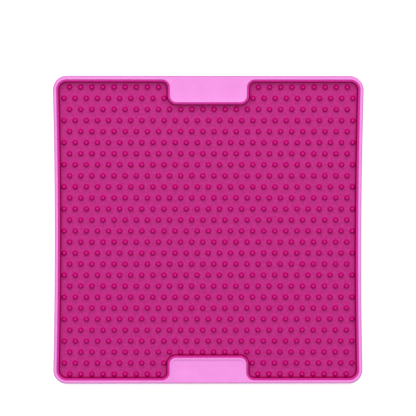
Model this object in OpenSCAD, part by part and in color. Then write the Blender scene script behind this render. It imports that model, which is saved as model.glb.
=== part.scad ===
// Square lick mat: a hard moulded tray with a soft pad of round nubs moulded into it.
// The origin is the middle of the underside, +Z is up and both tabs lie on the Y axis.

/* [Tray] */
// Width across the corners
tray_w = 200; // [150:1:260]
// Depth across the corners
tray_d = 199; // [150:1:260]
// Height of the rim above the table
tray_h = 10; // [9:0.5:14]
// How far the left and right sides bow in at their middle
side_bow = 1.1; // [0.5:0.1:2.5]
// Radius of the outer corners
corner_r = 8.7; // [6:0.1:16]
// Width of the rim, which is also the thickness of the outer wall
rim_w = 2.1; // [1.6:0.1:3.5]
// Rounding of the rim's outer top edge
rim_round = 0.9; // [0.4:0.1:1.2]
// Thickness of the tray's floor
floor_t = 1.6; // [1:0.1:2.4]
// Height of the floor's underside above the table
floor_lift = 1.8; // [1.2:0.1:3]

/* [Tabs] */
// Width of the bare tab at each end
tab_w = 49.7; // [30:0.1:80]
// Reach of the tab from the outer edge
tab_d = 16.8; // [12:0.1:30]
// Radius of the tab's free corners
tab_r = 4.2; // [2.5:0.1:6]
// Radius where the tab's sides run into the rim
root_r = 5.1; // [3:0.1:6]
// Width of the raised bead round the tab
bead_w = 1.5; // [1.2:0.1:2.2]
// Depth of the tab's flat face below the rim
tab_sink = 0.4; // [0.2:0.1:1]

/* [Ribs] */
// Thickness of the ribs under the floor
rib_t = 1.2; // [0.8:0.1:2]
// Gap between the ribs and the table
rib_clear = 0.4; // [0.2:0.1:0.8]
// Ribs each way under the floor
rib_count = 6; // [4:2:10]
// Ribs across the hollow of each tab
tab_rib_count = 3; // [1:1:5]

/* [Pad] */
// Thickness of the soft sheet
sheet_t = 1.8; // [1:0.1:2.4]
// Width of the raised border at its foot
border_w = 1.55; // [1.2:0.05:2.5]
// Drop from the rim down to the border's crest
border_drop = 0.5; // [0.2:0.1:1]
// Height of the border's rounded crown
crown_h = 0.8; // [0.4:0.1:1.2]

/* [Nubs] */
// Spacing of the nubs along a row
nub_pitch = 7.16; // [6:0.01:12]
// Spacing of the rows
row_pitch = 7.15; // [6:0.01:12]
// Radius of a nub at its foot
nub_r = 1.8; // [1:0.05:2.2]
// Radius of a nub's domed tip
tip_r = 1.35; // [0.8:0.05:1.6]
// Height of a nub
nub_h = 3; // [2:0.1:3.4]
// Sideways shift of the whole field of nubs
field_x = 0.15; // [-0.5:0.05:0.5]
// Shift of the field of nubs along the depth
field_y = -0.65; // [-1:0.05:0.2]

/* [Hidden] */
$fn = 32;
tray_colour = [0.98, 0.61, 0.92];
pad_colour = [0.74, 0.16, 0.49];
border_colour = [0.80, 0.21, 0.59];

// Heights of the faces that the pieces share
floor_z = floor_lift + floor_t;
sheet_z = floor_z + sheet_t;
crest_z = tray_h - border_drop;

// The side is an arc that bows in and meets each corner arc without a kink
bow_angle = 2*atan(side_bow/(tray_d/2 - corner_r));
bow_r = (tray_d/2 - corner_r)/sin(bow_angle) - corner_r;

// Half sizes and corner radius of the line where the pad meets the rim
seat_x = tray_w/2 - rim_w;
seat_y = tray_d/2 - rim_w;
seat_r = corner_r - rim_w;
tab_x = tab_w/2;
tab_y = tray_d/2 - tab_d;

// Moves of a closed outline, each a straight run or an arc, as [length] or [radius, turn].
// A left turn is positive, and the inside of the outline lies on the left.
function outline(r, end) = let (side = [bow_r + corner_r - r, -2*bow_angle], corner = [r, 90 + bow_angle])
  concat([side, corner], end, [corner, side, corner], end, [corner]);
tab_run = seat_y - tab_y - root_r - tab_r;
beside_tab = [seat_x - seat_r - tab_x - root_r];
seat_end = [beside_tab, [root_r, 90], [tab_run], [tab_r, -90], [tab_w - 2*tab_r],
            [tab_r, -90], [tab_run], [root_r, 90], beside_tab];

// Legs of an outline, each as [move, x, y, heading]
function legs(moves, x, y, heading, i = 0) = i == len(moves) ? [] :
  let (m = moves[i], turn = len(m) == 1 ? 0 : m[1], side = sign(turn), r = m[0], next = heading + turn,
       cx = x - side*r*sin(heading), cy = y + side*r*cos(heading))
  concat([[m, x, y, heading]],
         turn == 0 ? legs(moves, x + r*cos(heading), y + r*sin(heading), heading, i + 1)
                   : legs(moves, cx + side*r*sin(next), cy - side*r*cos(next), next, i + 1));
function loop(half_x, half_y, r, end) =
  legs(outline(r, end), half_x - r + r*cos(bow_angle), r - half_y + r*sin(bow_angle), 90 + bow_angle);
rim_loop = loop(tray_w/2, tray_d/2, corner_r, [[tray_w - 2*corner_r]]);
seat_loop = loop(seat_x, seat_y, seat_r, seat_end);

// Points of an outline drawn in by an inset. Every leg gives its first point, and an arc its steps.
arc_steps = 8;
function leg_points(leg, inset) = let (m = leg[0], heading = leg[3]) len(m) == 1
  ? [[leg[1] - inset*sin(heading), leg[2] + inset*cos(heading)]]
  : let (side = sign(m[1]), r = m[0] - side*inset,
         cx = leg[1] - side*m[0]*sin(heading), cy = leg[2] + side*m[0]*cos(heading))
    [for (k = [0:arc_steps - 1]) let (a = heading + m[1]*k/arc_steps) [cx + side*r*sin(a), cy - side*r*cos(a)]];
function drawn_in(loop, inset) = [for (leg = loop, p = leg_points(leg, inset)) p];

// Skin over one outline at a list of [inset, height], either a closed ring or a filled body with end faces
module skin(loop, profile, ring = false) {
  points = [for (p = profile, q = drawn_in(loop, p[0])) [q[0], q[1], p[1]]];
  n = len(drawn_in(loop, 0));
  m = len(profile);
  sides = [for (i = [0:m - (ring ? 1 : 2)], j = [0:n - 1], half = [0, 1])
    let (a = i*n + j, b = i*n + (j + 1)%n, c = (i + 1)%m*n + (j + 1)%n, d = (i + 1)%m*n + j)
      half == 0 ? [a, d, c] : [a, c, b]];
  ends = [[for (j = [0:n - 1]) j], [for (j = [n - 1:-1:0]) (m - 1)*n + j]];
  polyhedron(points = points, faces = ring ? sides : concat(sides, ends));
}

// Points of an elliptic arc from one angle to another
round_steps = 5;
function arc(cx, cy, rx, ry, from, to) =
  [for (k = [0:round_steps]) let (a = from + (to - from)*k/round_steps) [cx + rx*cos(a), cy + ry*sin(a)]];

module both_ends() {
  children();
  mirror([0, 1, 0]) children();
}

// Plan of a tab's inside, drawn in from the line where the pad meets the tab
module tab_inside(inset) {
  half_w = tab_x - inset;
  low = tab_y + inset;
  r = tab_r - inset;
  polygon(concat(arc(half_w - r, low + r, r, r, -90, 0), arc(half_w - r, seat_y - r, r, r, 0, 90),
    arc(r - half_w, seat_y - r, r, r, 90, 180), arc(r - half_w, low + r, r, r, 180, 270)));
}

// The tray's outer shape, rounded at the rim, and the pocket for the pad
overrun = 1;
module tray_block() skin(rim_loop, concat([[0, 0]],
  [for (p = arc(rim_round, tray_h - rim_round, rim_round, rim_round, 180, 90)) p]));
module pad_pocket()
  translate([0, 0, floor_z]) linear_extrude(tray_h - floor_z + overrun) polygon(drawn_in(seat_loop, 0));

// The flat face of a tab lies below its bead, and its hollow is open from below
tab_face_z = tray_h - tab_sink;
module tab_hollows() {
  translate([0, 0, tab_face_z]) linear_extrude(tab_sink + overrun) tab_inside(bead_w);
  translate([0, 0, -overrun]) linear_extrude(tab_face_z - floor_t + overrun) tab_inside(bead_w);
}

// Ribs stiffen the floor from below, with taller ones in the tabs' hollows. All end inside the walls.
side_grip_share = 2/3;
rib_span_x = tray_w - 2*side_bow - side_grip_share*rim_w;
rib_span_y = tray_d - rim_w;
function rib_place(k, count, span) = span*((k + 1)/(count + 1) - 1/2);
module bar(length, height) translate([0, 0, rib_clear + height/2]) cube([length, rib_t, height], center = true);
module ribs() {
  rib_h = floor_lift + floor_t/2 - rib_clear;
  for (k = [0:rib_count - 1]) {
    translate([0, rib_place(k, rib_count, rib_span_y), 0]) bar(rib_span_x, rib_h);
    x = rib_place(k, rib_count, rib_span_x);
    span = abs(x) < tab_x + root_r ? 2*tab_y + bead_w : rib_span_y;
    translate([x, 0, 0]) rotate([0, 0, 90]) bar(span, rib_h);
  }
}
module tab_ribs() {
  reach = tab_d - rim_w/2 - bead_w/2;
  for (k = [0:tab_rib_count - 1])
    translate([rib_place(k, tab_rib_count, tab_w), tab_y + bead_w/2 + reach/2, 0])
      rotate([0, 0, 90]) bar(reach, tab_face_z - floor_t/2 - rib_clear);
}

module outer_tray() color(tray_colour) {
  difference() {
    tray_block();
    pad_pocket();
    translate([0, 0, -overrun]) linear_extrude(floor_lift + overrun) polygon(drawn_in(rim_loop, rim_w));
    both_ends() tab_hollows();
  }
  ribs();
  both_ends() tab_ribs();
}

// A nub is a short cone that runs into a round tip
shoulder_z = nub_h - tip_r;
module nub() rotate_extrude() {
  polygon([[0, 0], [nub_r, 0], [tip_r, shoulder_z], [0, shoulder_z]]);
  intersection() {
    translate([0, shoulder_z]) circle(tip_r);
    translate([0, shoulder_z]) square(nub_r);
  }
}

// The nubs stand in rows, every second row shifted by half a pitch, and leave out the tabs
reach_x = seat_x - side_bow - border_w - nub_r - abs(field_x);
reach_y = seat_y - border_w - nub_r - abs(field_y);
row_reach = floor(reach_y/row_pitch);
function clear_of_tab(x, y) = abs(x) > tab_x + border_w + nub_r || abs(y) < tab_y - border_w - nub_r;
module nub_field() for (row = [-row_reach:row_reach]) {
  shift = abs(row) % 2/2;
  reach = floor(reach_x/nub_pitch - shift) + shift;
  y = row*row_pitch + field_y;
  for (place = [-reach:reach]) {
    x = place*nub_pitch + field_x;
    if (clear_of_tab(x, y)) translate([x, y, sheet_z]) nub();
  }
}

// The sheet fills the pocket from wall to wall, and carries the nubs
module lick_surface() color(pad_colour) {
  translate([0, 0, floor_z]) linear_extrude(sheet_t) polygon(drawn_in(seat_loop, 0));
  nub_field();
}

// The border is the pad's raised edge, which stands on the sheet against the rim. Its faces lean a little.
draft_share = 1/12;
module pad_border() color(border_colour) {
  shoulder = crest_z - crown_h;
  crown = arc(border_w/2, shoulder, border_w/2 - draft_share*border_w, crown_h, 180, 0);
  skin(seat_loop, concat([[0, sheet_z], [0, shoulder]], crown, [[border_w, sheet_z]]), ring = true);
}

outer_tray();
lick_surface();
pad_border();
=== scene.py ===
"""Looks of a square lick mat: a hard pink tray and the soft magenta pad of nubs moulded into it.

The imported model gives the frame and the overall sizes. The tray's shell, the nubbed pad and its raised
edge are modelled here as finer meshes of the same forms, and each takes its own moulded finish.
"""

import logging
import math
from dataclasses import dataclass, field
from enum import Enum
from typing import Any, Iterable, Sequence

import bpy
from mathutils import Matrix, Quaternion, Vector
from mathutils.geometry import delaunay_2d_cdt


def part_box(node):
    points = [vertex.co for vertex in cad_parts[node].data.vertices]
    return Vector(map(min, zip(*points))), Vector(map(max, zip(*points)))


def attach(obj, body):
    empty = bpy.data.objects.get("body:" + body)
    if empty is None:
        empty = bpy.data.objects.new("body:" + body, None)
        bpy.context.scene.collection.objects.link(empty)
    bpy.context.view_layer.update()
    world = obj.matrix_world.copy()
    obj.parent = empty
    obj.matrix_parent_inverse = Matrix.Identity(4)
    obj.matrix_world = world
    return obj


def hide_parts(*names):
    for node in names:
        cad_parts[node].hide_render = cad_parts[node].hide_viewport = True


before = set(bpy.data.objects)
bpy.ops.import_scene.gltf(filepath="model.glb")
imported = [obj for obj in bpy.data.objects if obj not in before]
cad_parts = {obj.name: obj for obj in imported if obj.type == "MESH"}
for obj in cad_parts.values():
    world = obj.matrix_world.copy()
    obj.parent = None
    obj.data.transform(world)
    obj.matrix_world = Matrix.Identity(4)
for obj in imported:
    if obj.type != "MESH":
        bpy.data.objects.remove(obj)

LOG = logging.getLogger("lick_mat")
MM = 0.001

# How the triangulation fills an area, and how near two points count as one, in metres.
INSIDE_ONLY = 1
CLOSE_POINTS = 1e-9

# Corners of a triangle, and of a square as signs that run to the left.
CORNERS = 3
SQUARE = ((-1, -1), (1, -1), (1, 1), (-1, 1))

# Places on a circle, in degrees.
QUARTER_TURN = 90.0
EAST, NORTH, WEST, SOUTH = (QUARTER_TURN * k for k in range(len(SQUARE)))

# The colour sockets of a Mix node, whose names are shared with its other kinds.
MIX_FACTOR, MIX_FIRST, MIX_SECOND = 0, 6, 7
MIX_RESULT = 2

NOISE_MIDDLE = 0.5
OPAQUE = 1.0
WHITE = (1.0, 1.0, 1.0, OPAQUE)

Point = tuple[float, float]
Colour = tuple[float, float, float]


def to_linear(red: int, green: int, blue: int) -> Colour:
    """Turn a screen colour into the linear colour that a shader takes.

    Args:
        red: Red from 0 to 255.
        green: Green from 0 to 255.
        blue: Blue from 0 to 255.

    Returns:
        The same colour in linear light.
    """
    top, low, slope, offset, power = 255, 0.04045, 12.92, 0.055, 2.4
    shares = [channel / top for channel in (red, green, blue)]
    return tuple(s / slope if s <= low else ((s + offset) / (1 + offset)) ** power for s in shares)


class Slot(Enum):
    """Material slot names for the tray, the pad and its edge."""

    TRAY = "tray_plastic"
    PAD = "pad_rubber"
    EDGE = "border_rubber"


class Wire:
    """A value inside a shader, on which ordinary arithmetic adds Math nodes."""

    def __init__(self, sheet: "ShaderSheet", socket: bpy.types.NodeSocket | None) -> None:
        """Keep where the value comes from.

        Args:
            sheet: The sheet that the value belongs to.
            socket: The socket that gives it, or None for a node that gives nothing.
        """
        self.sheet = sheet
        self.socket = socket

    def _math(self, operation: str, first: Any, second: Any) -> "Wire":
        """Add one Math node on two values."""
        return self.sheet.node("ShaderNodeMath", {"operation": operation}, {0: first, 1: second})

    def __add__(self, other: Any) -> "Wire":
        """Add a value."""
        return self._math("ADD", self, other)

    def __radd__(self, other: Any) -> "Wire":
        """Add to a value."""
        return self._math("ADD", other, self)

    def __sub__(self, other: Any) -> "Wire":
        """Take a value away."""
        return self._math("SUBTRACT", self, other)

    def __rsub__(self, other: Any) -> "Wire":
        """Take this away from a value."""
        return self._math("SUBTRACT", other, self)

    def __mul__(self, other: Any) -> "Wire":
        """Multiply by a value."""
        return self._math("MULTIPLY", self, other)

    def __rmul__(self, other: Any) -> "Wire":
        """Multiply a value by this."""
        return self._math("MULTIPLY", other, self)


class ShaderSheet:
    """The node tree of one material or world, filled by one method."""

    def __init__(self, owner: bpy.types.Material | bpy.types.World) -> None:
        """Clear the owner's node tree.

        Args:
            owner: The material or world to fill.
        """
        owner.use_nodes = True
        self.tree = owner.node_tree
        self.tree.nodes.clear()

    def node(self, kind: str, settings: dict[str, Any] | None = None,
             inputs: dict[int | str, Any] | None = None, output: int | str = 0) -> Wire:
        """Add a node, set it up and join its inputs.

        Args:
            kind: The node's type.
            settings: Properties that are set before the sockets.
            inputs: Sockets by name or place, each with a number, a colour or a Wire.
            output: The socket that the returned value comes from.

        Returns:
            The chosen output as a Wire.
        """
        made = self.tree.nodes.new(kind)
        for name, value in (settings or {}).items():
            setattr(made, name, value)
        for name, value in (inputs or {}).items():
            if isinstance(value, Wire):
                self.tree.links.new(value.socket, made.inputs[name])
            else:
                made.inputs[name].default_value = value
        return Wire(self, made.outputs[output]) if len(made.outputs) else Wire(self, None)

    def blend(self, factor: Wire, first: Wire | Colour, second: Wire | Colour) -> Wire:
        """Mix two colours by a factor.

        Args:
            factor: How much of the second colour shows.
            first: Colour where the factor is 0.
            second: Colour where the factor is 1.

        Returns:
            The mixed colour.
        """
        first, second = (c if isinstance(c, Wire) else (*c, OPAQUE) for c in (first, second))
        return self.node("ShaderNodeMix", {"data_type": "RGBA"},
                         {MIX_FACTOR: factor, MIX_FIRST: first, MIX_SECOND: second}, MIX_RESULT)

    def ramp(self, value: Wire, ends: Point) -> Wire:
        """Turn a value into a share that runs from 0 to 1 between two ends.

        Args:
            value: The value.
            ends: The value at which the share is 0 and the one at which it is 1.

        Returns:
            The share.
        """
        return self.node("ShaderNodeMapRange", {"clamp": True}, {
            "Value": value, "From Min": ends[0], "From Max": ends[1]})

    def noise(self, size: float, detail: float) -> Wire:
        """Add noise whose lumps have a real size.

        Args:
            size: Width of a lump in metres.
            detail: Octaves of finer noise on top.

        Returns:
            The noise from 0 to 1.
        """
        place = self.node("ShaderNodeTexCoord", output="Object")
        return self.node("ShaderNodeTexNoise", inputs={
            "Vector": place, "Scale": 1 / size, "Detail": detail})


@dataclass(frozen=True)
class MouldedFinish:
    """A through-coloured moulded plastic or rubber with a fine mould grain."""

    name: str
    colour: Colour
    shade: Colour
    roughness: float
    roughness_swing: float
    grain_size: float
    grain_depth: float
    mottle_size: float
    specular: float
    mottle_detail: float = 4.0
    mottle_ends: Point = (0.3, 0.7)
    grain_detail: float = 3.0

    def colours(self, sheet: ShaderSheet) -> Wire:
        """Mottle the colour with its shade.

        Args:
            sheet: The node tree to add to.

        Returns:
            The colour.
        """
        mottle = sheet.noise(self.mottle_size, self.mottle_detail)
        return sheet.blend(sheet.ramp(mottle, self.mottle_ends), self.colour, self.shade)

    def build(self) -> bpy.types.Material:
        """Make the material.

        Returns:
            A material with a mottled colour, an uneven gloss and a fine grain.
        """
        material = bpy.data.materials.new(self.name)
        sheet = ShaderSheet(material)
        grain = sheet.noise(self.grain_size, self.grain_detail)
        gloss = self.roughness + (grain - NOISE_MIDDLE) * self.roughness_swing
        bump = sheet.node("ShaderNodeBump", inputs={"Distance": self.grain_depth, "Height": grain})
        surface = sheet.node("ShaderNodeBsdfPrincipled", inputs={
            "Base Color": self.colours(sheet),
            "Roughness": gloss,
            "Specular IOR Level": self.specular,
            "Normal": bump})
        sheet.node("ShaderNodeOutputMaterial", inputs={"Surface": surface})
        return material


@dataclass(frozen=True)
class NubbedFinish(MouldedFinish):
    """A moulded rubber with painted shade on the sides of its nubs and a painted highlight on their tips.
    """

    # side is painted shade on the sides of raised parts, and tip a painted highlight at their tops.
    side: Colour = (0.0, 0.0, 0.0)
    tip: Colour = (0.0, 0.0, 0.0)
    side_shading_heights: Point = (0.0, 1.0)
    tip_highlight_heights: Point = (0.0, 1.0)

    def colours(self, sheet: ShaderSheet) -> Wire:
        """Mottle the sheet's colour and lay the painted shade of the sides and the painted highlight of
        the tips over it by height.

        Args:
            sheet: The node tree to add to.

        Returns:
            The colour.
        """
        place = sheet.node("ShaderNodeTexCoord", output="Object")
        height = sheet.node("ShaderNodeSeparateXYZ", inputs={0: place}, output="Z")
        ground = super().colours(sheet)
        side_shading_share = sheet.ramp(height, self.side_shading_heights)
        tip_highlight_share = sheet.ramp(height, self.tip_highlight_heights)
        return sheet.blend(tip_highlight_share, sheet.blend(side_shading_share, ground, self.side), self.tip)


@dataclass(frozen=True)
class WallShadedFinish(MouldedFinish):
    """A moulded plastic with painted shade where it turns down to its outer wall."""

    # The wall colour is painted shade, laid on the outer wall and its rounding where the surface faces
    # outwards.
    wall: Colour = (0.0, 0.0, 0.0)
    wall_shade_leans: Point = (0.0, 1.0)

    def colours(self, sheet: ShaderSheet) -> Wire:
        """Lay the painted shade of the wall over the mottled colour where the surface faces outwards.

        Args:
            sheet: The node tree to add to.

        Returns:
            The colour.
        """
        place = sheet.node("ShaderNodeTexCoord", output="Object")
        facing = sheet.node("ShaderNodeTexCoord", output="Normal")
        lean = sheet.node("ShaderNodeVectorMath", {"operation": "DOT_PRODUCT"}, {0: place, 1: facing},
                          output="Value")
        return sheet.blend(sheet.ramp(lean, self.wall_shade_leans), super().colours(sheet), self.wall)


@dataclass
class Leg:
    """One move of an outline from a start point: a straight run, or an arc if it turns."""

    start: Point
    heading: float
    size: float
    turn: float = 0.0

    @property
    def side(self) -> int:
        """Give 1 for a left turn, -1 for a right turn and 0 for a straight run."""
        return (self.turn > 0) - (self.turn < 0)

    @property
    def centre(self) -> Point:
        """Find the centre of the arc.

        Returns:
            The centre in plan.
        """
        x, y = self.start
        reach = self.side * self.size
        return x - reach * math.sin(self.heading), y + reach * math.cos(self.heading)

    def at(self, share: float, inset: float) -> Point:
        """Find a point of the leg drawn in to the left.

        Args:
            share: How far along the leg the point lies, from 0 to 1.
            inset: Distance to the left of the leg.

        Returns:
            The point in plan.
        """
        if not self.turn:
            x, y = self.start
            run = share * self.size
            return (x + run * math.cos(self.heading) - inset * math.sin(self.heading),
                    y + run * math.sin(self.heading) + inset * math.cos(self.heading))
        x, y = self.centre
        angle = self.heading + self.turn * share
        radius = self.size - self.side * inset
        return x + self.side * radius * math.sin(angle), y - self.side * radius * math.cos(angle)

    def end_heading(self) -> float:
        """Give the heading at the end of the leg."""
        return self.heading + self.turn


@dataclass
class Outline:
    """A closed outline that runs to the left round its inside, made of straight runs and arcs."""

    moves: Sequence[tuple[float, float]]
    start: Point
    heading: float
    legs: list[Leg] = field(default_factory=list)

    def __post_init__(self) -> None:
        """Walk the moves once and keep the legs."""
        place, heading = self.start, self.heading
        for size, turn in self.moves:
            leg = Leg(place, heading, size, turn)
            self.legs.append(leg)
            place, heading = leg.at(1.0, 0.0), leg.end_heading()

    def points(self, inset: float, arc_steps: int) -> list[Point]:
        """Give the outline's points drawn in by an inset.

        Args:
            inset: Distance inwards from the outline.
            arc_steps: Steps that each arc is cut into.

        Returns:
            The points in order, each leg giving its first.
        """
        found = []
        for leg in self.legs:
            steps = arc_steps if leg.turn else 1
            found.extend(leg.at(step / steps, inset) for step in range(steps))
        return found


class MeshSketch:
    """Points and faces of one mesh, built from rings that are bridged and filled."""

    def __init__(self) -> None:
        """Start with nothing."""
        self.points: list[tuple[float, float, float]] = []
        self.faces: list[tuple[int, ...]] = []
        self.smooth: list[bool] = []

    def ring(self, plan: Iterable[Point], height: float) -> list[int]:
        """Add a closed ring of points at one height.

        Args:
            plan: The ring's points in plan.
            height: Its height.

        Returns:
            The numbers of the new points.
        """
        first = len(self.points)
        self.points.extend((x, y, height) for x, y in plan)
        return list(range(first, len(self.points)))

    def bridge(self, lower: Sequence[int], upper: Sequence[int], smooth: bool = True) -> None:
        """Join two rings of the same length.

        Args:
            lower: The ring whose outside lies to its right.
            upper: The ring that it is joined to, point by point.
            smooth: Whether the faces are shaded smooth.
        """
        count = len(lower)
        for k in range(count):
            after = (k + 1) % count
            self.faces.append((lower[k], lower[after], upper[after], upper[k]))
            self.smooth.append(smooth)

    def chain(self, rings: Sequence[Sequence[int]], smooth: bool = True) -> None:
        """Bridge each ring to the next.

        Args:
            rings: The rings in order.
            smooth: Whether the faces are shaded smooth.
        """
        for lower, upper in zip(rings, rings[1:]):
            self.bridge(lower, upper, smooth)

    def tip(self, ring: Sequence[int], point: tuple[float, float, float]) -> None:
        """Close a ring with a fan to one point above it.

        Args:
            ring: The ring.
            point: The point that the fan meets in.
        """
        top = len(self.points)
        self.points.append(point)
        count = len(ring)
        for k in range(count):
            self.faces.append((ring[k], ring[(k + 1) % count], top))
            self.smooth.append(True)

    def fill(self, outer: Sequence[int], holes: Sequence[Sequence[int]] = (), up: bool = True) -> None:
        """Fill the flat area inside a ring, around any holes.

        Args:
            outer: The ring round the area.
            holes: Rings that stay open, each running to the left round its hole.
            up: Whether the new faces look up.
        """
        loops = [list(outer), *[list(hole) for hole in holes]]
        used = [number for loop in loops for number in loop]
        plan = [Vector(self.points[number][:2]) for number in used]
        edges: list[tuple[int, int]] = []
        base = 0
        for loop in loops:
            edges.extend((base + k, base + (k + 1) % len(loop)) for k in range(len(loop)))
            base += len(loop)
        _, _, patches, sources, *_ = delaunay_2d_cdt(plan, edges, [], INSIDE_ONLY, CLOSE_POINTS)
        origins = [used[source[0]] for source in sources]
        triangles = [tuple(origins[k] for k in patch) for patch in patches]
        inside_hole = self._spread(triangles, loops)
        for number, corners in enumerate(triangles):
            if number not in inside_hole:
                self.faces.append(corners if up else corners[::-1])
                self.smooth.append(False)

    @staticmethod
    def _spread(triangles: Sequence[tuple[int, ...]], loops: Sequence[Sequence[int]]) -> set[int]:
        """Find the triangles that lie in a hole, from those along its rim inwards.

        Args:
            triangles: Corner numbers of every triangle, each running to the left.
            loops: The outer ring, then the ring of each hole.

        Returns:
            The places of the triangles in the list.
        """
        owner = {(t[k - 1], t[k]): number for number, t in enumerate(triangles) for k in range(CORNERS)}
        rims = {edge for loop in loops for k in range(len(loop))
                for edge in ((loop[k], loop[k - 1]), (loop[k - 1], loop[k]))}
        waiting = [owner[(hole[k - 1], hole[k])] for hole in loops[1:] for k in range(len(hole))]
        found = set(waiting)
        while waiting:
            corners = triangles[waiting.pop()]
            for k in range(CORNERS):
                edge = (corners[k], corners[k - 1])
                near = owner.get(edge)
                if near is not None and edge not in rims and near not in found:
                    found.add(near)
                    waiting.append(near)
        return found

    def bar(self, centre: Point, half: Point, low: float, high: float, ease: float) -> None:
        """Add a straight bar whose lower edges are eased.

        Args:
            centre: Middle of the bar in plan.
            half: Half its length and half its width, along X and Y.
            low: Height of its underside.
            high: Height of its top.
            ease: How much its lower edges are cut back.
        """
        sizes = [(ease, low), (0.0, low + ease), (0.0, high)]
        rings = [self.ring([(centre[0] + sx * (half[0] - inset), centre[1] + sy * (half[1] - inset))
                            for sx, sy in SQUARE], height) for inset, height in sizes]
        self.chain(rings, smooth=False)
        self.fill(rings[0], up=False)
        self.fill(rings[-1])

    def build(self, name: str, material: bpy.types.Material) -> bpy.types.Object:
        """Make the object.

        Args:
            name: The object's name.
            material: Its finish.

        Returns:
            The object, linked to the scene.
        """
        mesh = bpy.data.meshes.new(name)
        mesh.from_pydata(self.points, [], self.faces)
        mesh.polygons.foreach_set("use_smooth", self.smooth)
        mesh.materials.append(material)
        mesh.update()
        made = bpy.data.objects.new(name, mesh)
        bpy.context.scene.collection.objects.link(made)
        return made


def arc(centre: Point, radius: Point, start: float, end: float, steps: int) -> list[Point]:
    """Give points along part of an ellipse.

    Args:
        centre: Its centre.
        radius: Its two radii.
        start: First angle in degrees.
        end: Last angle in degrees.
        steps: Steps between the first point and the last.

    Returns:
        The points, both ends among them.
    """
    angles = [math.radians(start + (end - start) * k / steps) for k in range(steps + 1)]
    return [(centre[0] + radius[0] * math.cos(a), centre[1] + radius[1] * math.sin(a)) for a in angles]


def even_shares(count: int) -> list[float]:
    """Spread places evenly between -1 and 1, with the same gap at both ends.

    Args:
        count: How many places there are.

    Returns:
        The places.
    """
    return [2 * (k + 1) / (count + 1) - 1 for k in range(count)]


@dataclass
class MatSizes:
    """Sizes that the tray and the pad share, in metres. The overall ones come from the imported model."""

    side_bow: float = 1.1 * MM
    corner: float = 8.7 * MM
    rim: float = 2.1 * MM
    border: float = 1.55 * MM
    tab_width: float = 49.7 * MM
    tab_depth: float = 16.8 * MM
    tab_corner: float = 4.2 * MM
    tab_root: float = 5.1 * MM
    skin_gap: float = 0.02 * MM
    arc_steps: int = 20

    def __post_init__(self) -> None:
        """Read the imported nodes' boxes and work out the two outlines."""
        _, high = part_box("outer_tray")
        sheet_low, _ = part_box("lick_surface")
        edge_low, edge_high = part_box("pad_border")
        self.half_x = high.x
        self.half_y = high.y
        self.rim_z = high.z
        self.floor_z = sheet_low.z
        self.sheet_z = edge_low.z
        self.crest_z = edge_high.z
        self.seat_y = self.half_y - self.rim
        self.tab_x = self.tab_width / 2
        self.tab_y = self.half_y - self.tab_depth
        self.bow_angle = 2 * math.atan(self.side_bow / (self.half_y - self.corner))
        self.rim_outline = self._outline(0.0, [(2 * (self.half_x - self.corner), 0.0)])
        self.seat_outline = self._outline(self.rim, self._tab_end())

    def _tab_end(self) -> list[tuple[float, float]]:
        """Lay out one end of the seat, round its tab.

        Returns:
            The moves, each a size and a turn.
        """
        quarter = math.pi / 2
        beside = self.half_x - self.corner - self.tab_x - self.tab_root
        run = self.seat_y - self.tab_y - self.tab_root - self.tab_corner
        into = [(beside, 0.0), (self.tab_root, quarter), (run, 0.0), (self.tab_corner, -quarter)]
        return [*into, (self.tab_width - 2 * self.tab_corner, 0.0), *into[::-1]]

    def _outline(self, inset: float, end: list[tuple[float, float]]) -> Outline:
        """Lay out a bowed outline at an inset from the outer edge.

        Args:
            inset: Distance inwards from the outer edge.
            end: The moves along one end, between the corners.

        Returns:
            The outline.
        """
        radius = self.corner - inset
        bow_radius = (self.half_y - self.corner) / math.sin(self.bow_angle) - self.corner + inset
        side = (bow_radius, -2 * self.bow_angle)
        corner = (radius, math.pi / 2 + self.bow_angle)
        moves = [side, corner, *end, corner, side, corner, *end, corner]
        x = self.half_x - self.corner + radius * math.cos(self.bow_angle)
        y = self.corner - self.half_y + radius * math.sin(self.bow_angle)
        return Outline(moves, (x, y), math.pi / 2 + self.bow_angle)

    def rim_points(self, inset: float) -> list[Point]:
        """Give the tray's outer outline drawn in."""
        return self.rim_outline.points(inset, self.arc_steps)

    def seat_points(self, inset: float) -> list[Point]:
        """Give the line where the pad meets the rim, drawn in."""
        return self.seat_outline.points(inset, self.arc_steps)


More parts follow.
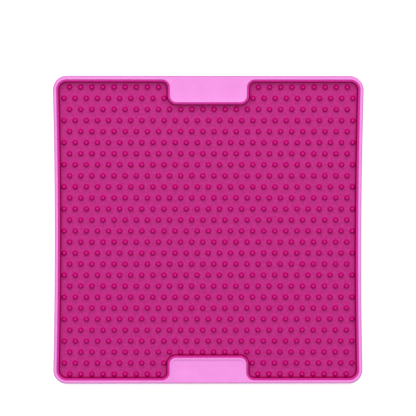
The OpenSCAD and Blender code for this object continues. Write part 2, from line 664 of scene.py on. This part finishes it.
@dataclass
class Tray:
    """The hard tray: wall, rim, floor, two bare tabs and the ribs under the floor.

    The lean shares say where the painted shade on the outer wall sets in and where it is full, as shares
    of half the mat's width. The sinks say how far the ribs stop short of the tray's outer edge.
    """

    sizes: MatSizes
    rim_round: float = 0.9 * MM
    rim_ease: float = 0.25 * MM
    foot_ease: float = 0.3 * MM
    bead: float = 1.5 * MM
    bead_slope: float = 20.0
    tab_sink: float = 0.4 * MM
    tab_fade: float = 8.0 * MM
    floor: float = 1.6 * MM
    floor_lift: float = 1.8 * MM
    rib: float = 1.2 * MM
    rib_ease: float = 0.15 * MM
    rib_clear: float = 0.4 * MM
    side_sink: float = 0.7 * MM
    end_sink: float = 1.05 * MM
    rib_count: int = 6
    tab_rib_count: int = 3
    round_steps: int = 6
    wall_shade_shares: Point = (0.2, 0.5)

    def finish(self) -> MouldedFinish:
        """Describe the light pink plastic, with painted shade on its outer wall.

        Returns:
            The finish.
        """
        return WallShadedFinish(
            name="pink_plastic", colour=to_linear(250, 152, 233), shade=to_linear(246, 146, 228),
            # The wall colour is painted shade on the outer wall and its rounding.
            wall=to_linear(228, 136, 214),
            wall_shade_leans=tuple(share * self.sizes.half_x for share in self.wall_shade_shares),
            roughness=0.5, roughness_swing=0.12, grain_size=0.35 * MM, grain_depth=0.006 * MM,
            mottle_size=9.0 * MM, specular=0.28)

    def _tab_plan(self, end: int, inset: float, outer: float) -> list[Point]:
        """Give the rounded plan inside one tab.

        Args:
            end: 1 for the tab at +Y and -1 for the tab at -Y.
            inset: Distance inwards from the line where the pad meets the tab.
            outer: How far out along Y the plan reaches.

        Returns:
            The points, running to the left round the tab.
        """
        s = self.sizes
        half_w = s.tab_x - inset
        low, high = s.tab_y + inset, outer
        radius = s.tab_corner - inset
        corners = [(half_w - radius, high - radius, EAST), (radius - half_w, high - radius, NORTH),
                   (radius - half_w, low + radius, WEST), (half_w - radius, low + radius, SOUTH)]
        plan = [point for x, y, angle in corners
                for point in arc((x, y), (radius, radius), angle, angle + QUARTER_TURN, self.round_steps)]
        return plan if end > 0 else [(-x, -y) for x, y in plan]

    def _upper_side(self, sketch: MeshSketch) -> list[int]:
        """Add the outer wall, rim and seat, and join the rim to the tabs.

        Args:
            sketch: The tray's mesh.

        Returns:
            The foot's outer ring.
        """
        s = self.sizes
        edge = arc((self.rim_round, s.rim_z - self.rim_round), (self.rim_round, self.rim_round),
                   WEST, NORTH, self.round_steps)
        wall = [(self.foot_ease, 0.0), (0.0, self.foot_ease), *edge]
        outer = [sketch.ring(s.rim_points(inset + s.skin_gap), height) for inset, height in wall]
        sketch.chain(outer)
        seat = arc((-self.rim_ease, s.rim_z - self.rim_ease), (self.rim_ease, self.rim_ease),
                   EAST, NORTH, self.round_steps)
        pocket = [sketch.ring(s.seat_points(inset), height) for inset, height in [(0.0, s.floor_z), *seat]]
        sketch.chain(pocket[::-1])
        sketch.fill(pocket[0])
        sketch.fill(outer[-1], [pocket[-1], *self._tab_faces(sketch)])
        return outer[0]

    def _bead_profile(self) -> list[Point]:
        """Draw the slope from a tab's bead down to its sunk face.

        Returns:
            Points as (inset, height), from the bead's crest down.
        """
        slope = math.radians(self.bead_slope)
        ease = self.tab_sink / (2 * (1 - math.cos(slope)))
        reach = ease * math.sin(slope)
        top = self.sizes.rim_z
        crest = arc((self.bead - reach, top - ease), (ease, ease),
                    NORTH, NORTH - self.bead_slope, self.round_steps)
        base = arc((self.bead + reach, top - self.tab_sink + ease), (ease, ease),
                   SOUTH - self.bead_slope, SOUTH, self.round_steps)
        return [*crest, *base[1:]]

    def _tab_faces(self, sketch: MeshSketch) -> list[list[int]]:
        """Add both tabs' sunk faces, which fade out towards the mat's edge.

        Args:
            sketch: The tray's mesh.

        Returns:
            The ring round each, at the height of the rim.
        """
        s = self.sizes
        tops = []
        far, near = s.half_y - self.rim_round - self.rim_ease, s.seat_y - self.tab_fade
        for end in (1, -1):
            rings = []
            for inset, height in self._bead_profile():
                share = (s.rim_z - height) / self.tab_sink
                plan = self._tab_plan(end, inset, far + (near - far) * share)
                rings.append(sketch.ring(plan, height))
            sketch.chain(rings)
            sketch.fill(rings[-1])
            tops.append(rings[0])
        return tops

    def _under_side(self, sketch: MeshSketch, foot: list[int]) -> None:
        """Add the foot, the inner wall, the floor's underside and the tabs' hollows.

        Args:
            sketch: The tray's mesh.
            foot: The foot's outer ring.
        """
        s = self.sizes
        profile = [(s.rim - self.foot_ease, 0.0), (s.rim, self.foot_ease), (s.rim, self.floor_lift)]
        inner = [sketch.ring(s.rim_points(inset), height) for inset, height in profile]
        sketch.chain([foot[::-1], *[ring[::-1] for ring in inner]])
        mouths = []
        for end in (1, -1):
            plan = self._tab_plan(end, self.bead, s.seat_y)
            mouth = sketch.ring(plan, self.floor_lift)
            roof = sketch.ring(plan, s.rim_z - self.tab_sink - self.floor)
            sketch.bridge(mouth[::-1], roof[::-1])
            sketch.fill(roof, up=False)
            mouths.append(mouth)
        sketch.fill(inner[-1], mouths, up=False)

    def _ribs(self, sketch: MeshSketch) -> None:
        """Add the ribs that cross the floor's underside and the tabs' hollows.

        Args:
            sketch: The tray's mesh.
        """
        s = self.sizes
        half_rib = self.rib / 2
        span_x = s.half_x - s.side_bow - self.side_sink
        span_y = s.half_y - self.end_sink
        tab_wall = s.tab_y + self.bead / 2
        top = self.floor_lift + self.floor / 2
        for share in even_shares(self.rib_count):
            sketch.bar((0.0, share * span_y), (span_x, half_rib), self.rib_clear, top, self.rib_ease)
            x = share * span_x
            reach = tab_wall if abs(x) < s.tab_x + s.tab_root else span_y
            sketch.bar((x, 0.0), (half_rib, reach), self.rib_clear, top, self.rib_ease)
        middle = (tab_wall + span_y) / 2
        half = (half_rib, (span_y - tab_wall) / 2)
        roof = s.rim_z - self.tab_sink - self.floor / 2
        for x in (share * s.tab_x for share in even_shares(self.tab_rib_count)):
            for end in (1, -1):
                sketch.bar((x, end * middle), half, self.rib_clear, roof, self.rib_ease)

    def build(self) -> bpy.types.Object:
        """Make the tray.

        Returns:
            The dressed tray.
        """
        sketch = MeshSketch()
        foot = self._upper_side(sketch)
        self._under_side(sketch, foot)
        self._ribs(sketch)
        made = sketch.build("tray_shell", self.finish().build())
        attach(made, "root")
        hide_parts("outer_tray")
        return made


@dataclass
class NubPad:
    """The soft sheet on the tray's floor with its field of round nubs."""

    sizes: MatSizes
    pitch: float = 7.16 * MM
    row_pitch: float = 7.15 * MM
    foot: float = 1.8 * MM
    tip: float = 1.35 * MM
    height: float = 3.0 * MM
    shift_x: float = 0.15 * MM
    shift_y: float = -0.65 * MM
    flare: float = 0.16 * MM
    # Heights over which the painted shade of the nubs' sides and the painted highlight of their tips blend
    # in.
    side_shading_blend: float = 0.12 * MM
    tip_highlight_blend: float = 0.5 * MM
    segments: int = 16
    dome_steps: int = 5
    flare_steps: int = 3

    def finish(self) -> MouldedFinish:
        """Describe the magenta rubber, with painted shade on the nubs' sides and a painted highlight on
        their tips.

        Returns:
            The finish.
        """
        s = self.sizes
        return NubbedFinish(
            name="magenta_rubber", colour=to_linear(197, 44, 140), shade=to_linear(185, 24, 125),
            # side is painted shade on the nubs' sides, and tip a painted highlight on their tops.
            side=to_linear(202, 0, 122), tip=to_linear(214, 22, 144),
            side_shading_heights=(s.sheet_z, s.sheet_z + self.side_shading_blend),
            tip_highlight_heights=(s.sheet_z + self.height - self.tip_highlight_blend, s.sheet_z + self.height),
            roughness=0.5, roughness_swing=0.14, grain_size=0.5 * MM, grain_depth=0.02 * MM,
            mottle_size=1.8 * MM, specular=0.16)

    def places(self) -> list[Point]:
        """Work out where the nubs stand: in staggered rows that leave out the tabs.

        Returns:
            The middle of each nub in plan.
        """
        s = self.sizes
        margin = s.border + self.foot
        reach_x = s.half_x - s.rim - s.side_bow - margin - abs(self.shift_x)
        reach_y = s.seat_y - margin - abs(self.shift_y)
        rows = math.floor(reach_y / self.row_pitch)
        found = []
        for row in range(-rows, rows + 1):
            stagger = abs(row) % 2 / 2
            count = math.floor(reach_x / self.pitch - stagger)
            y = row * self.row_pitch + self.shift_y
            first = -(count + stagger)
            for k in range(round(2 * (count + stagger)) + 1):
                x = (first + k) * self.pitch + self.shift_x
                beside = abs(x) > s.tab_x + margin
                if beside or abs(y) < s.tab_y - margin:
                    found.append((x, y))
        return found

    def profile(self) -> list[Point]:
        """Draw a nub's side from its foot to just under its tip.

        Returns:
            Points as (radius, height).
        """
        fillet = arc((self.foot + self.flare, self.flare), (self.flare, self.flare),
                     SOUTH, WEST, self.flare_steps)
        dome = arc((0.0, self.height - self.tip), (self.tip, self.tip), EAST, NORTH, self.dome_steps)
        return [*fillet, *dome[:-1]]

    def build(self) -> bpy.types.Object:
        """Make the pad.

        Returns:
            The dressed pad.
        """
        s = self.sizes
        sketch = MeshSketch()
        plan = s.seat_points(s.skin_gap)
        under = sketch.ring(plan, s.floor_z + s.skin_gap)
        upper = sketch.ring(plan, s.sheet_z)
        sketch.bridge(under, upper, smooth=False)
        sketch.fill(under, up=False)
        turn = [2 * math.pi * k / self.segments for k in range(self.segments)]
        circle = [(math.cos(a), math.sin(a)) for a in turn]
        feet = []
        for x, y in self.places():
            rings = [sketch.ring([(x + r * c, y + r * d) for c, d in circle], s.sheet_z + z)
                     for r, z in self.profile()]
            sketch.chain(rings)
            sketch.tip(rings[-1], (x, y, s.sheet_z + self.height))
            feet.append(rings[0])
        sketch.fill(upper, feet)
        made = sketch.build("nub_pad", self.finish().build())
        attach(made, "root")
        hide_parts("lick_surface")
        LOG.info("nubs: %d", len(feet))
        return made


@dataclass
class PadEdge:
    """The pad's raised and rounded edge, which follows the rim and the tabs."""

    sizes: MatSizes
    foot_spread: float = 0.25 * MM
    seam_round: float = 0.12 * MM
    brow: float = 0.3 * MM
    draft: float = 0.45 * MM
    fillet: float = 0.4 * MM
    # Height over which the painted shade of the wall blends into the brow's colour.
    wall_shade_blend: float = 0.6 * MM
    crown_steps: int = 8

    def finish(self) -> MouldedFinish:
        """Describe the magenta rubber of the edge, with painted shade on its wall and foot and a painted
        highlight on its crest.

        Returns:
            The finish.
        """
        s = self.sizes
        brow_z = s.crest_z - self.brow
        return NubbedFinish(
            # colour is painted shade on the wall and in the crease at its foot; side and tip are painted
            # light that brightens up to the crest highlight.
            name="magenta_edge_rubber", colour=to_linear(178, 0, 98), shade=to_linear(172, 0, 94),
            side=to_linear(200, 22, 134), tip=to_linear(212, 46, 154),
            side_shading_heights=(brow_z - self.wall_shade_blend, brow_z), tip_highlight_heights=(brow_z, s.crest_z),
            roughness=0.55, roughness_swing=0.12, grain_size=0.5 * MM, grain_depth=0.012 * MM,
            mottle_size=3.0 * MM, specular=0.1)

    def build(self) -> bpy.types.Object:
        """Make the edge.

        Returns:
            The dressed edge.
        """
        s = self.sizes
        seam = arc((s.skin_gap + self.seam_round, s.crest_z - self.seam_round),
                   (self.seam_round, self.seam_round), WEST, NORTH, self.crown_steps)
        foot = s.border + self.foot_spread
        brow = arc((foot - self.draft - self.brow, s.crest_z - self.brow),
                   (self.brow, self.brow), NORTH, EAST, self.crown_steps)
        fillet = arc((foot + self.fillet, s.sheet_z + self.fillet + s.skin_gap),
                     (self.fillet, self.fillet), WEST, SOUTH, self.crown_steps)
        profile = [(s.skin_gap, s.sheet_z), *seam, *brow, *fillet, (foot + self.fillet, s.sheet_z)]
        sketch = MeshSketch()
        rings = [sketch.ring(s.seat_points(inset), height) for inset, height in profile]
        sketch.chain(rings)
        sketch.bridge(rings[-1], rings[0])
        made = sketch.build("pad_edge", self.finish().build())
        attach(made, "root")
        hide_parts("pad_border")
        return made


def upright(back: Vector) -> Quaternion:
    """Turn a camera or lamp so that it looks against a direction, with its right side along X.

    Args:
        back: The direction from what is looked at to the camera, of length 1.

    Returns:
        The rotation.
    """
    right = (Vector((1.0, 0.0, 0.0)) - back * back.x).normalized()
    return Matrix((right, back.cross(right), back)).transposed().to_quaternion()


@dataclass
class Studio:
    """The pale floor, the soft light and the camera above the mat."""

    floor_size: float = 6.0
    floor_grey: float = 0.8
    pixels: int = 416
    pixel_size: float = 0.6447 * MM
    centre_pixel: Point = (208.25, 230.6)
    distance: float = 2.6
    tilt_to_top: float = 4.6
    tilt_to_left: float = 1.2
    sensor: float = 36.0
    sky: float = 0.27
    key: float = 80.0
    key_place: tuple[float, float, float] = (-0.1, 1.12, 2.35)
    key_size: float = 3.2
    floor_glow: float = 0.6

    def _floor(self) -> None:
        """Lay a white floor that keeps the shadow and shows white to the camera."""
        half = self.floor_size / 2
        mesh = bpy.data.meshes.new("floor")
        mesh.from_pydata([(x * half, y * half, 0.0) for x, y in SQUARE], [], [tuple(range(len(SQUARE)))])
        floor = bpy.data.objects.new("floor", mesh)
        bpy.context.scene.collection.objects.link(floor)
        material = bpy.data.materials.new("white_floor")
        sheet = ShaderSheet(material)
        grey = self.floor_grey
        matt = sheet.node("ShaderNodeBsdfDiffuse", inputs={"Color": (grey, grey, grey, OPAQUE)})
        glow = sheet.node("ShaderNodeEmission", inputs={"Strength": self.floor_glow})
        bright = sheet.node("ShaderNodeAddShader", inputs={0: matt, 1: glow})
        seen = sheet.node("ShaderNodeLightPath", output="Is Camera Ray")
        surface = sheet.node("ShaderNodeMixShader", inputs={0: seen, 1: matt, 2: bright})
        sheet.node("ShaderNodeOutputMaterial", inputs={"Surface": surface})
        mesh.materials.append(material)

    def _sky(self) -> None:
        """Light the scene evenly, and show white where the camera sees past the floor."""
        world = bpy.data.worlds.new("studio")
        bpy.context.scene.world = world
        sheet = ShaderSheet(world)
        soft = sheet.node("ShaderNodeBackground", inputs={"Color": WHITE, "Strength": self.sky})
        white = sheet.node("ShaderNodeBackground", inputs={"Color": WHITE})
        seen = sheet.node("ShaderNodeLightPath", output="Is Camera Ray")
        surface = sheet.node("ShaderNodeMixShader", inputs={0: seen, 1: soft, 2: white})
        sheet.node("ShaderNodeOutputWorld", inputs={"Surface": surface})

    def _key(self) -> None:
        """Hang one soft lamp beyond the top edge, as in the photograph."""
        lamp = bpy.data.lights.new("key", "AREA")
        lamp.energy = self.key
        lamp.size = self.key_size
        made = bpy.data.objects.new("key", lamp)
        made.visible_camera = False
        made.location = self.key_place
        made.rotation_mode = "QUATERNION"
        made.rotation_quaternion = upright(Vector(self.key_place).normalized())
        bpy.context.scene.collection.objects.link(made)

    def _camera(self, height: float) -> None:
        """Set the camera above the mat at the photograph's angle and framing.

        Args:
            height: Height at which the framing holds.
        """
        middle = self.pixels / 2
        target = Vector(((middle - self.centre_pixel[0]) * self.pixel_size,
                         (self.centre_pixel[1] - middle) * self.pixel_size, height))
        across = math.tan(math.radians(self.tilt_to_left))
        along = math.tan(math.radians(self.tilt_to_top))
        back = Vector((-across, along, 1.0)).normalized()
        data = bpy.data.cameras.new("camera")
        data.sensor_width = self.sensor
        data.lens = self.sensor * self.distance / (self.pixels * self.pixel_size)
        camera = bpy.data.objects.new("camera", data)
        camera.location = target + back * self.distance
        camera.rotation_mode = "QUATERNION"
        camera.rotation_quaternion = upright(back)
        bpy.context.scene.collection.objects.link(camera)
        bpy.context.scene.camera = camera

    def build(self, height: float) -> None:
        """Set up the floor, light and camera.

        Args:
            height: Height of the mat's rim, at which the framing holds.
        """
        self._floor()
        self._sky()
        self._key()
        self._camera(height)
        bpy.context.scene.view_settings.view_transform = "Standard"


def main() -> None:
    """Build the studio and the three pieces."""
    logging.basicConfig(level=logging.INFO, format="%(name)s: %(message)s")
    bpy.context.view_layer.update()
    sizes = MatSizes()
    Studio().build(sizes.rim_z)
    for assembly in (Tray(sizes), NubPad(sizes), PadEdge(sizes)):
        piece = assembly.build()
        LOG.info("%s: %d points, %d faces", piece.name, len(piece.data.vertices), len(piece.data.polygons))


if __name__ == "__main__":
    main()
